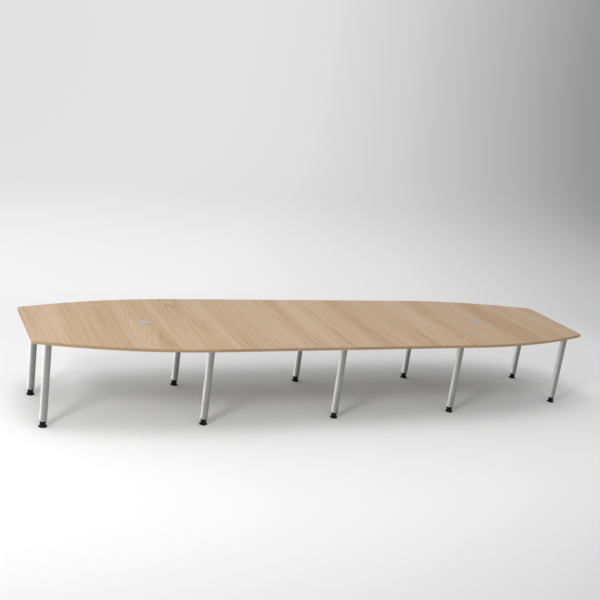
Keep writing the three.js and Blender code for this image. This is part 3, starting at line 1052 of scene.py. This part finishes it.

# %% [markdown]
# ## Floor and light
#
# The table stands on a pale studio floor that sweeps up into a backdrop, so no horizon shows. Near the table the floor
# is a plain matt surface that takes the shadow. Outside an oval round the table it fades into a glowing grey gradient:
# a painted falloff of light, as on a backdrop that the lamps no longer reach, which darkens on a slant towards the
# right front, and a painted pool of light makes it brighter near the table. The glow is seen only by the camera and in
# reflections, so it never lights the table.

# %% Floor and backdrop
FLOOR_RADIUS = 16.0
SWEEP_RADIUS = 5.0
BACKDROP_HIGH = 16.0
FLOOR_GREY = (0.868, 0.868, 0.868)
FLOOR_OVAL = 0.5
BACKDROP_SLANT = 0.55
BACKDROP_FROM, BACKDROP_TO = -12.0, 8.0
# Greys of the glow: a painted falloff of light, paler on the left and darker towards the right front.
PAINTED_FALLOFF_GREYS = [
    (0.0, 0.755), (0.35, 0.775), (0.50, 0.74), (0.65, 0.63), (0.75, 0.525), (0.85, 0.425), (0.925, 0.335), (1.0, 0.27),
]

deselect()
bpy.ops.mesh.primitive_circle_add(vertices=128, radius=FLOOR_RADIUS, fill_type="NGON")
floor = settle(bpy.context.object, "studio_floor")
sweep = [
    (FLOOR_RADIUS + SWEEP_RADIUS * math.sin(a), SWEEP_RADIUS * (1 - math.cos(a)))
    for a in (math.radians(6 * i) for i in range(16))
]
backdrop = turned("studio_backdrop", sweep + [(FLOOR_RADIUS + SWEEP_RADIUS, BACKDROP_HIGH)], 128, closed=True)
smooth(backdrop, 60)
for flag in ("visible_shadow", "visible_diffuse"):
    setattr(backdrop, flag, False)

# %% Studio finish
studio, shader = new_finish("studio", 0.9, Specular_IOR_Level=0.1)
shader.inputs["Base Color"].default_value = (*FLOOR_GREY, 1)
place = add(studio, "ShaderNodeSeparateXYZ")
feed(studio, place.inputs[0], placed(studio))
across = add(studio, "ShaderNodeMapRange")
feed(studio, across.inputs["Value"], sums(studio, "MULTIPLY_ADD", place.outputs["Y"], -BACKDROP_SLANT, place.outputs["X"]))
across.inputs["From Min"].default_value = BACKDROP_FROM
across.inputs["From Max"].default_value = BACKDROP_TO
far = add(studio, "ShaderNodeMapRange", interpolation_type="SMOOTHSTEP")
oval = add(studio, "ShaderNodeVectorMath", operation="LENGTH")
feed(studio, oval.inputs[0], placed(studio, (FLOOR_OVAL, 1, 0)))
distance = oval.outputs["Value"]
feed(studio, far.inputs["Value"], distance)
far.inputs["From Min"].default_value = 1.7
far.inputs["From Max"].default_value = 3.6
glow = add(studio, "ShaderNodeEmission")
feed(studio, glow.inputs["Color"], ramp(studio, across.outputs[0], *PAINTED_FALLOFF_GREYS))
# A painted pool of light: the glow is up to 1.19 times brighter near the table than far off.
painted_light_pool = add(studio, "ShaderNodeMapRange", interpolation_type="SMOOTHSTEP")
feed(studio, painted_light_pool.inputs["Value"], distance)
painted_light_pool.inputs["From Min"].default_value = 2.8
painted_light_pool.inputs["From Max"].default_value = 11.0
painted_light_pool.inputs["To Min"].default_value = 1.19
painted_light_pool.inputs["To Max"].default_value = 1.0
feed(studio, glow.inputs["Strength"], painted_light_pool.outputs[0])
path = add(studio, "ShaderNodeLightPath").outputs
seen = sums(studio, "MAXIMUM", path["Is Camera Ray"], path["Is Glossy Ray"])
seen = sums(studio, "MAXIMUM", seen, path["Is Transmission Ray"])
blend = add(studio, "ShaderNodeMixShader")
feed(studio, blend.inputs[0], sums(studio, "MULTIPLY", far.outputs[0], seen))
feed(studio, blend.inputs[1], shader.outputs[0])
feed(studio, blend.inputs[2], glow.outputs[0])
feed(studio, studio.node_tree.nodes["Material Output"].inputs["Surface"], blend.outputs[0])
studio.cycles.emission_sampling = "NONE"
dress([floor, backdrop], studio)
print("floor", 2 * FLOOR_RADIUS, "m across, backdrop", BACKDROP_HIGH, "m high")

# %% [markdown]
# The light is soft, and comes from above and from the left: the world is bright there and dim on the other sides, as
# in a studio with a white ceiling and one bright wall. A high softbox lays the table's shadow on the floor, a smaller
# one at the front left throws the thin shadows of the legs, and one on the left lets the light fall off along the
# table; these last two are hidden from reflections, so they leave no glare on the boards. A long strip far off
# draws a bright line down each leg, and light linking gives it to the legs alone. The level is kept where a colour
# renders about as it is written.

# %% World
WORLD_EVEN = 0.10
WORLD_SIDES = [
    ("ceiling", Vector((-0.03, -0.26, 1.0)).normalized(), 0.35, 0.885),
    ("left_wall", Vector((-0.85, 0.52, 0.06)).normalized(), 0.30, 0.80),
]

world = bpy.data.worlds.new("studio")
bpy.context.scene.world = world
world.use_nodes = True
sky = world.node_tree.nodes["Background"]
sky.inputs["Color"].default_value = (1, 1, 1, 1)
direction = add(world, "ShaderNodeTexCoord").outputs["Generated"]
strength = WORLD_EVEN
for side, towards, starts, gain in WORLD_SIDES:
    facing = add(world, "ShaderNodeVectorMath", operation="DOT_PRODUCT")
    feed(world, facing.inputs[0], direction)
    facing.inputs[1].default_value = towards
    share = add(world, "ShaderNodeMapRange", interpolation_type="SMOOTHSTEP")
    feed(world, share.inputs["Value"], facing.outputs["Value"])
    share.inputs["From Min"].default_value = starts
    share.inputs["To Max"].default_value = gain
    strength = sums(world, "ADD", share.outputs[0], strength)
    print("world:", side, "adds up to", gain)
feed(world, sky.inputs["Strength"], strength)

# %% Lamps
LAMPS = [
    ("top_softbox", Vector((-2.7, -1.2, 10.0)), Vector((-0.8, -0.3, 0)), (4.5, 3.0), 212),
    ("key_softbox", Vector((-7.0, -5.0, 5.5)), Vector((0, 0, 0.5)), (1.8, 1.5), 236),
    ("left_softbox", Vector((-7.0, -0.3, 2.0)), Vector((0, 0, 0.5)), (6.0, 3.0), 62),
    ("left_strip", Vector((-16.0, 6.5, 0.9)), Vector((0, -0.2, 0.4)), (11.0, 1.8), 3800),
]

for name, place, aim, (wide, high), power in LAMPS:
    deselect()
    bpy.ops.object.light_add(type="AREA", location=place)
    lamp = bpy.context.object
    lamp.name = name
    lamp.data.shape = "RECTANGLE"
    lamp.data.size, lamp.data.size_y = wide, high
    lamp.data.energy = power
    lamp.rotation_euler = (aim - place).to_track_quat("-Z", "Y").to_euler()
    print(name, wide, "x", high, "m,", power, "W")
for name in ("key_softbox", "left_softbox"):
    bpy.data.objects[name].visible_glossy = False
lit_by_strip = bpy.data.collections.new("lit_by_strip")
for leg in legs.values():
    lit_by_strip.objects.link(leg)
bpy.data.objects["left_strip"].light_linking.receiver_collection = lit_by_strip

# %% [markdown]
# ## Close
#
# The colours go straight to the screen with the Standard view.

# %% Standard view
bpy.context.scene.view_settings.view_transform = "Standard"
deselect()
